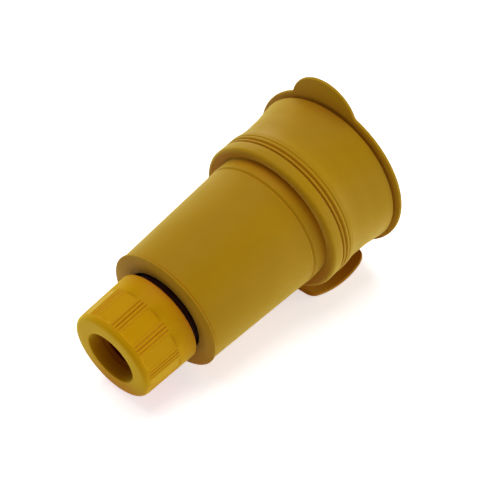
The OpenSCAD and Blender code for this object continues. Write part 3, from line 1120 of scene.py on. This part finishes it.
@dataclass(frozen=True)
class RearHousing(Gland):
    """The rigid inner housing: wire chamber, flange, threaded neck and screw bosses."""

    block_back: float = 41.8
    seal_t: float = 1.4
    flange_t: float = 2.0
    chamber_wall: float = 1.8
    chamber_gap: float = 0.15
    neck_wall: float = 1.8
    passage_in: float = 1.8
    grommet_len: float = 10.0
    thread_pitch: float = 2.0
    thread_deep: float = 0.6
    thread_slope: float = 2.2
    thread_crest: float = 0.6
    thread_runout: float = 0.8
    plain_neck: float = 2.6
    thread_rings: int = 84
    screw_pitch_r: float = 16.2
    screw_r: float = 1.45
    screw_angles: tuple[float, ...] = (30.0, 150.0, 270.0)
    boss_wall: float = 1.4
    boss_len: float = 9.8
    boss_gap: float = 0.35
    boss_steps: int = 32
    steps: int = 128

    @property
    def front(self) -> float:
        """Front end of the wire chamber, behind the mouth's edge."""
        return self.block_back + DATUM.fit

    @property
    def shoulder_back(self) -> float:
        """Rear face of the flange, behind the mouth's edge."""
        return DATUM.sleeve_len - DATUM.rear_wall - self.seal_t - 2 * DATUM.fit

    @property
    def neck_len(self) -> float:
        """Length of the neck behind the flange."""
        return self.neck_back - self.shoulder_back

    def build(self) -> list[bpy.types.Object]:
        """Builds the housing.

        Returns:
            The housing's moulding.
        """
        piece = Moulding("housing_moulding")
        piece.spin(self._chamber(), self.steps)
        piece.spin(self._neck(), self.steps, shape=self._thread)
        boss_r, rear = self.screw_r + self.boss_wall, -self.front - self.boss_len
        tube = [(boss_r, -self.front), (boss_r, rear), (self.screw_r, rear), (self.screw_r, -self.front)]
        for angle in self.screw_angles:
            turn = math.radians(angle)
            about = (self.screw_pitch_r * math.cos(turn), self.screw_pitch_r * math.sin(turn))
            piece.spin(tube, self.boss_steps, about, self._clear)
        return [piece.make(FINISHES[Slot.BLACK_NYLON], Body.CONNECTOR, "rear_housing")]

    def _chamber(self) -> list[Point]:
        """The tapering wire chamber and the flange behind it.

        Returns:
            Radius and z of each corner.
        """
        inset = DATUM.wall + self.chamber_gap
        front_r, rear_r = DATUM.cone_r(self.front) - inset, DATUM.cone_r(self.shoulder_back) - inset
        passage = self.neck_r - self.neck_wall - self.passage_in
        floor, step = -self.shoulder_back, self.flange_t - self.shoulder_back
        return rounded([
            (front_r - self.chamber_wall, -self.front, 0.2), (front_r, -self.front, 0.2),
            (rear_r, floor, 0.5), (passage, floor),
            (passage, step, 0.3), (rear_r - self.chamber_wall, step, 0.6),
        ])

    def _neck(self) -> list[Point]:
        """The neck with its grommet seat, and rings for the thread.

        Returns:
            Radius and z of each corner.
        """
        end, inner = self.neck_back, self.neck_r - self.neck_wall
        passage, seat = inner - self.passage_in, self.grommet_len - end
        rings = range(self.thread_rings + 1)
        wall = [(self.neck_r, self.neck_len * k / self.thread_rings - end) for k in rings]
        return wall + [
            (passage, 0.5 - self.shoulder_back), (passage, seat), (inner, seat), (inner, 0.3 - end),
            (inner + 0.3, -end),
        ]

    def _thread(self, p: Vector) -> Vector:
        """Cuts the helix into the turned neck, with a run-out at both ends.

        Args:
            p: The vertex as turned.

        Returns:
            Its new place.
        """
        along, r = p.z + self.neck_back, p.xy.length
        if r < self.neck_r - 0.1:
            return p
        turn = (along / self.thread_pitch + math.atan2(p.y, p.x) / FULL_TURN) % 1.0
        wave = clamp(self.thread_slope * abs(2 * turn - 1) - self.thread_crest)
        fade = clamp(min(along, self.neck_len - self.plain_neck - along) / self.thread_runout)
        share = 1 - self.thread_deep * wave * fade / r
        return Vector((p.x * share, p.y * share, p.z))

    def _clear(self, p: Vector) -> Vector:
        """Draws a vertex of a boss in from the sleeve's wall.

        Args:
            p: The vertex as turned.

        Returns:
            Its new place.
        """
        share = min(1.0, (DATUM.cone_r(-p.z) - DATUM.wall - self.boss_gap) / max(p.xy.length, 1.0))
        return Vector((p.x * share, p.y * share, p.z))


class PackedPieces:
    """The CAD nodes, each of which gets the finish of its slot."""

    def build(self) -> list[bpy.types.Object]:
        """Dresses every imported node.

        Returns:
            The nodes.
        """
        dressed = []
        for part in frame["record"]["subparts"]:
            node = frame["nodes"][part["node"]]
            node.data.materials.clear()
            node.data.materials.append(FINISHES[Slot(part["material_slot"])].material())
            dressed.append(node)
        return dressed


@dataclass(frozen=True)
class Lamp:
    """A round soft lamp.

    Attributes:
        name: Name of the lamp.
        place: Its middle in metres.
        size: Its diameter in metres.
        power: Its power in watts.
        aim: Point that it shines at, in metres.
    """

    name: str
    place: Place
    size: float
    power: float
    aim: Place = (0.0, -0.04, 0.0)

    def build(self) -> bpy.types.Object:
        """Makes the lamp, aimed at the part.

        Returns:
            The lamp.
        """
        light = bpy.data.lights.new(self.name, "AREA")
        light.shape = "DISK"
        light.size = self.size
        light.energy = self.power
        obj = placed(self.name, light)
        obj.location = self.place
        obj.rotation_mode = "QUATERNION"
        obj.rotation_quaternion = (Vector(self.aim) - Vector(self.place)).to_track_quat("-Z", "Y")
        return obj


@dataclass(frozen=True)
class Stage:
    """White surroundings, soft lamps and the photograph's camera.

    Attributes:
        azimuth: Camera's angle from the front, in degrees.
        elevation: Camera's angle above the floor, in degrees.
        roll: Camera's turn about its own axis, in degrees.
        place: Camera's place in metres.
        lens: Focal length in millimetres, for a sensor of sensor_w.
        sky: Strength of the world as a light.
        glow: Glow of the floor where it is seen.
        fill: Glow of the floor as a light from below.
        paper: Grey level of the floor.
        lamps: The lamps.
    """

    azimuth: float = 42.8336
    elevation: float = 38.4994
    roll: float = -0.1036
    place: Place = (0.22835, -0.287105, 0.262072)
    lens: float = 105.0
    sensor_w: float = 36.0
    clip: Point = (0.01, 20.0)
    sky: float = 0.24
    glow: float = 0.6
    fill: float = 0.15
    paper: float = 0.95
    floor_half: float = 3.0
    floor_gap: float = 0.0001
    lamps: tuple[Lamp, ...] = (
        Lamp("key", (-0.2, 0.05, 1.15), 1.1, 10.3),
        Lamp("right_rim", (0.65, 0.8, 0.0), 0.5, 5.5),
        Lamp("right_low", (0.95, 0.3, -0.01), 0.4, 1.9),
        Lamp("left_rim", (-0.75, 0.6, 0.3), 0.5, 2.5),
    )

    def build(self) -> list[bpy.types.Object]:
        """Makes the world, the floor, the lamps and the camera.

        Returns:
            The floor, the lamps and the camera.
        """
        self._world()
        made = [self._floor(), *(lamp.build() for lamp in self.lamps), self._camera()]
        bpy.context.scene.view_settings.view_transform = "Standard"
        return made

    def _world(self) -> None:
        """White where it is seen, and dimmer as a light."""
        world = bpy.data.worlds.new("surroundings")
        world.use_nodes = True
        bpy.context.scene.world = world
        graph = Graph(world.node_tree)
        graph.fill("Background", {
            "Color": (1, 1, 1, 1),
            "Strength": graph.seen().ramp(0, 1, self.sky, 1.0),
        })

    def _floor(self) -> bpy.types.Object:
        """A white sheet just under the strap's lowest line, which keeps the part's shadow.

        Returns:
            The floor.
        """
        bow = DATUM.lying() @ Vector((0, DATUM.bow_c, -DATUM.strap_low_back))
        level = bow.z - DATUM.strap_bow_r * MM - self.floor_gap
        bm = bmesh.new()
        bmesh.ops.create_grid(bm, x_segments=1, y_segments=1, size=self.floor_half)
        bmesh.ops.translate(bm, vec=(0, 0, level), verts=bm.verts)
        mesh = bpy.data.meshes.new("floor")
        bm.to_mesh(mesh)
        bm.free()
        floor = placed("floor", mesh)
        mesh.materials.append(self._floor_finish())
        return floor

    def _floor_finish(self) -> bpy.types.Material:
        """Matt white that glows more where it is seen than as a light.

        Returns:
            The material.
        """
        mat = bpy.data.materials.new("white_floor")
        mat.use_nodes = True
        graph = Graph(mat.node_tree)
        unseen, seen = (*[self.fill] * 3, 1), (*[self.glow] * 3, 1)
        graph.fill("Principled BSDF", {
            "Base Color": (*[self.paper] * 3, 1),
            "Roughness": 1.0,
            "Specular IOR Level": 0.0,
            "Emission Color": graph.blend(graph.seen(), unseen, seen),
            "Emission Strength": 1.0,
        })
        return mat

    def _camera(self) -> bpy.types.Object:
        """The camera that was fitted to the photograph.

        Returns:
            The camera, as the scene's own.
        """
        camera = bpy.data.cameras.new("camera")
        camera.lens = self.lens
        camera.sensor_width = self.sensor_w
        camera.clip_start, camera.clip_end = self.clip
        obj = placed("camera", camera)
        obj.location = self.place
        a, e = math.radians(self.azimuth), math.radians(self.elevation)
        back = Vector((math.sin(a) * math.cos(e), -math.cos(a) * math.cos(e), math.sin(e)))
        obj.rotation_mode = "QUATERNION"
        roll = Quaternion(back, math.radians(self.roll))
        obj.rotation_quaternion = roll @ (-back).to_track_quat("-Z", "Y")
        bpy.context.scene.camera = obj
        return obj


def main() -> None:
    """Builds the sub-assemblies and the stage in order, and reports each piece."""
    logging.basicConfig(level=logging.INFO)
    for assembly in (PackedPieces(), Sleeve(), Strap(), Lid(), GlandNut(), RearHousing(), Stage()):
        for obj in assembly.build():
            size = f"{len(obj.data.polygons)} faces" if obj.type == "MESH" else obj.type.lower()
            log.info("%s: %s, %s", type(assembly).__name__, obj.name, size)


if __name__ == "__main__":
    main()
